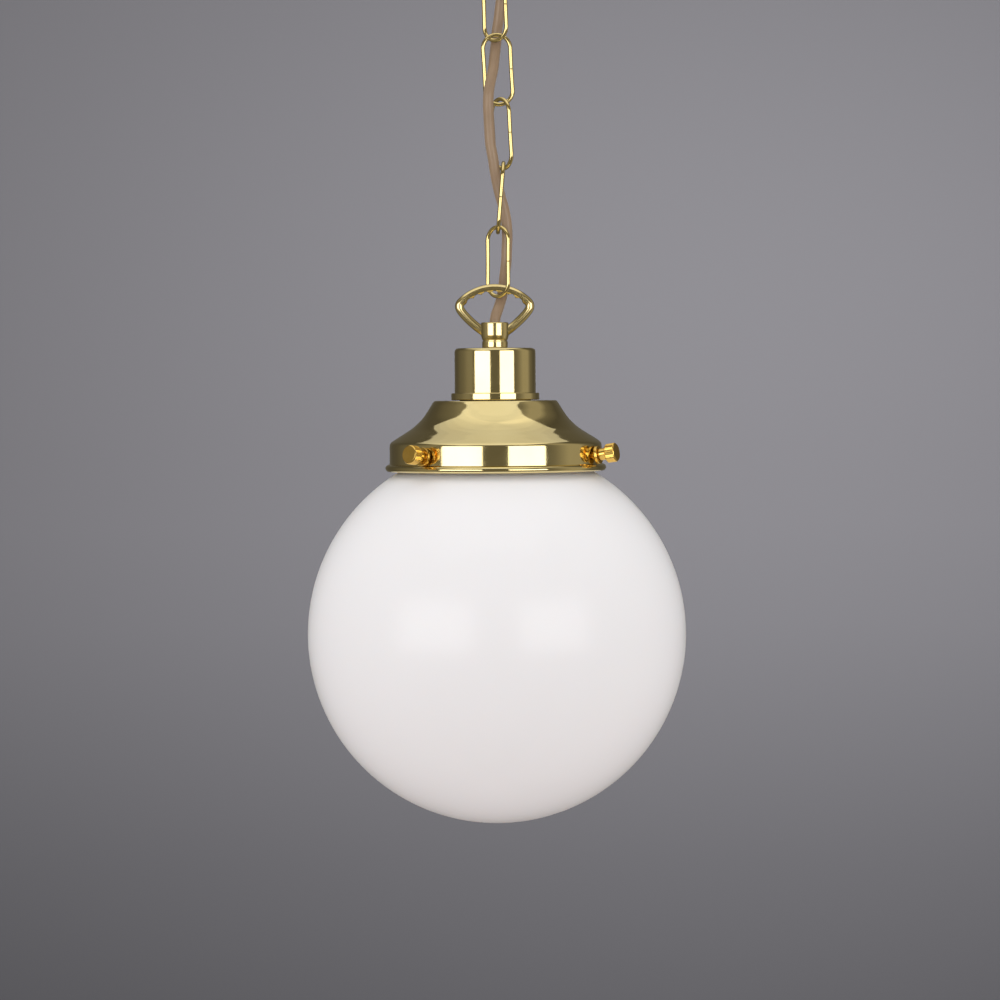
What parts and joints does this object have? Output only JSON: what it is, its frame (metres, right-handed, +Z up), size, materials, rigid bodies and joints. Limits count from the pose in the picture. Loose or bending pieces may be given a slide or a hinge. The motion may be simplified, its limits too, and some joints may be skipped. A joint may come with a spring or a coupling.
{
  "type": "pendant ceiling light",
  "caption": "Opal glass globe pendant in a brass gallery with thumbscrews, hung from a brass ceiling rose by a chain with the flex laced through it.",
  "frame": {"origin": "centre of the ceiling strap's flat top, where it meets the ceiling; the light hangs straight down from it", "axes": "+Z up into the ceiling, along the chain; +X to the right and +Y away from someone who faces the loop's flat side"},
  "size_m": [0.1998, 0.1998, 0.5102],
  "materials": {
    "polished_brass": "mirror polished, pale lacquered brass",
    "gold_plate": "bright brass plate over castings and wire",
    "lacquered_brass": "warm lacquered brass, knurled",
    "cast_brass": "plain turned brass",
    "zinc_steel": "bright zinc plate",
    "opal_glass": "white opal glass, fire polished, opaque to the eye",
    "bulb_glass": "frosted lamp envelope",
    "flex_sheath": "satin gold beige sheath",
    "brown_core": "satin",
    "blue_core": "satin",
    "green_core": "green with a yellow stripe",
    "phenolic": "moulded phenolic",
    "porcelain": "glazed porcelain",
    "nylon": "natural nylon"
  },
  "bodies": {
    "rose": {"ceiling_strap": "zinc_steel", "rose_hook": "gold_plate", "hook_nut": "zinc_steel", "terminal_block": "porcelain", "terminal_screw_1": "lacquered_brass", "terminal_screw_2": "lacquered_brass", "terminal_screw_3": "lacquered_brass", "earth_screw": "lacquered_brass", "rose_core_1": "brown_core", "rose_core_2": "blue_core", "rose_core_3": "green_core", "flex_1": "flex_sheath"},
    "rose_cover": {"rose_cover": "polished_brass", "cord_bush": "nylon"},
    "rose_collar": {"rose_collar": "polished_brass"},
    "link_1": {"link_1": "gold_plate", "flex_2": "flex_sheath"},
    "link_2": {"link_2": "gold_plate", "flex_3": "flex_sheath"},
    "link_3": {"link_3": "gold_plate", "flex_4": "flex_sheath"},
    "link_4": {"link_4": "gold_plate", "flex_5": "flex_sheath"},
    "link_5": {"link_5": "gold_plate"},
    "fitting": {"lamp_loop": "gold_plate", "nipple": "cast_brass", "nipple_nut": "zinc_steel", "lampholder_cover": "polished_brass", "lampholder_cap": "phenolic", "lampholder_skirt": "phenolic", "contact_insert": "porcelain", "screw_shell": "cast_brass", "centre_contact": "cast_brass", "holder_screw_1": "lacquered_brass", "holder_screw_2": "lacquered_brass", "shade_ring": "phenolic", "gallery": "polished_brass", "globe": "opal_glass", "flex_6": "flex_sheath"},
    "screw_tip_1": {"screw_tip_1": "nylon"},
    "thumbscrew_1": {"thumbscrew_1": "lacquered_brass"},
    "lock_nut_1": {"lock_nut_1": "lacquered_brass"},
    "screw_tip_2": {"screw_tip_2": "nylon"},
    "thumbscrew_2": {"thumbscrew_2": "lacquered_brass"},
    "lock_nut_2": {"lock_nut_2": "lacquered_brass"},
    "screw_tip_3": {"screw_tip_3": "nylon"},
    "thumbscrew_3": {"thumbscrew_3": "lacquered_brass"},
    "lock_nut_3": {"lock_nut_3": "lacquered_brass"},
    "lamp_contact": {"bulb_contact": "cast_brass"},
    "lamp": {"bulb_cap": "zinc_steel", "bulb_glass": "bulb_glass"}
  },
  "joints": [
    {"name": "cover_drop", "type": "slide", "parent": "rose", "child": "rose_cover", "axis": [0, 0, -1], "range_m": [0, 0.0038]},
    {"name": "collar_turn", "type": "hinge", "parent": "rose_cover", "child": "rose_collar", "pos_m": [0, 0, -0.0383], "axis": [0, 0, -1], "range_deg": [0, 1095]},
    {"name": "link_1_swing", "type": "hinge", "parent": "rose", "child": "link_1", "pos_m": [0.0006, 0, -0.0643], "axis": [0.6018, 0.7986, 0], "range_deg": [-20, 20], "deforming": ["flex_1"]},
    {"name": "link_2_swing", "type": "hinge", "parent": "link_1", "child": "link_2", "pos_m": [0.0016, 0, -0.09749], "axis": [0.7983, -0.6018, 0.0219], "range_deg": [-20, 20], "deforming": ["flex_2"]},
    {"name": "link_3_swing", "type": "hinge", "parent": "link_2", "child": "link_3", "pos_m": [0.0034, 0, -0.13108], "axis": [0.9988, 0, 0.0493], "range_deg": [-20, 20], "deforming": ["flex_3"]},
    {"name": "link_4_swing", "type": "hinge", "parent": "link_3", "child": "link_4", "pos_m": [0.0052, 0, -0.16468], "axis": [0.6286, -0.7771, 0.031], "range_deg": [-20, 20], "deforming": ["flex_4"]},
    {"name": "link_5_swing", "type": "hinge", "parent": "link_4", "child": "link_5", "pos_m": [0.00201, 0, -0.19823], "axis": [0, -1, 0], "range_deg": [-20, 20], "deforming": ["flex_5"]},
    {"name": "fitting_swing", "type": "hinge", "parent": "link_5", "child": "fitting", "pos_m": [0.0018, 0, -0.22772], "axis": [1, 0, 0], "range_deg": [-20, 20], "deforming": ["flex_6"]},
    {"name": "screw_1_travel", "type": "slide", "parent": "fitting", "child": "screw_tip_1", "axis": [-0.6423, -0.7521, 0.1478], "range_m": [0, 0.004]},
    {"name": "screw_1_turn", "type": "hinge", "parent": "screw_tip_1", "child": "thumbscrew_1", "pos_m": [-0.0364, -0.04262, -0.31575], "axis": [-0.6423, -0.7521, 0.1478], "range_deg": [0, 1800.5]},
    {"name": "lock_nut_1_turn", "type": "hinge", "parent": "fitting", "child": "lock_nut_1", "pos_m": [-0.0364, -0.04262, -0.31575], "axis": [-0.6423, -0.7521, 0.1478], "range_deg": [0, 60]},
    {"name": "screw_2_travel", "type": "slide", "parent": "fitting", "child": "screw_tip_2", "axis": [0.9104, -0.3864, 0.1478], "range_m": [0, 0.004]},
    {"name": "screw_2_turn", "type": "hinge", "parent": "screw_tip_2", "child": "thumbscrew_2", "pos_m": [0.05159, -0.0219, -0.31575], "axis": [0.9104, -0.3864, 0.1478], "range_deg": [0, 1800.5]},
    {"name": "lock_nut_2_turn", "type": "hinge", "parent": "fitting", "child": "lock_nut_2", "pos_m": [0.05159, -0.0219, -0.31575], "axis": [0.9104, -0.3864, 0.1478], "range_deg": [0, 60]},
    {"name": "screw_3_travel", "type": "slide", "parent": "fitting", "child": "screw_tip_3", "axis": [-0.2518, 0.9564, 0.1478], "range_m": [0, 0.004]},
    {"name": "screw_3_turn", "type": "hinge", "parent": "screw_tip_3", "child": "thumbscrew_3", "pos_m": [-0.01427, 0.0542, -0.31575], "axis": [-0.2518, 0.9564, 0.1478], "range_deg": [0, 1800.5]},
    {"name": "lock_nut_3_turn", "type": "hinge", "parent": "fitting", "child": "lock_nut_3", "pos_m": [-0.01427, 0.0542, -0.31575], "axis": [-0.2518, 0.9564, 0.1478], "range_deg": [0, 60]},
    {"name": "lamp_travel", "type": "slide", "parent": "fitting", "child": "lamp_contact", "axis": [0, 0, -1], "range_m": [0, 0.008]},
    {"name": "lamp_turn", "type": "hinge", "parent": "lamp_contact", "child": "lamp", "pos_m": [0, 0, -0.30215], "axis": [0, 0, -1], "range_deg": [0, 795]}
  ],
  "couplings": [
    {"joint": "collar_turn", "follows": "cover_drop", "rad_per_m": 5026.5},
    {"joint": "screw_1_turn", "follows": "screw_1_travel", "rad_per_m": 7854},
    {"joint": "screw_2_turn", "follows": "screw_2_travel", "rad_per_m": 7854},
    {"joint": "screw_3_turn", "follows": "screw_3_travel", "rad_per_m": 7854},
    {"joint": "lamp_turn", "follows": "lamp_travel", "rad_per_m": 1730.9}
  ]
}
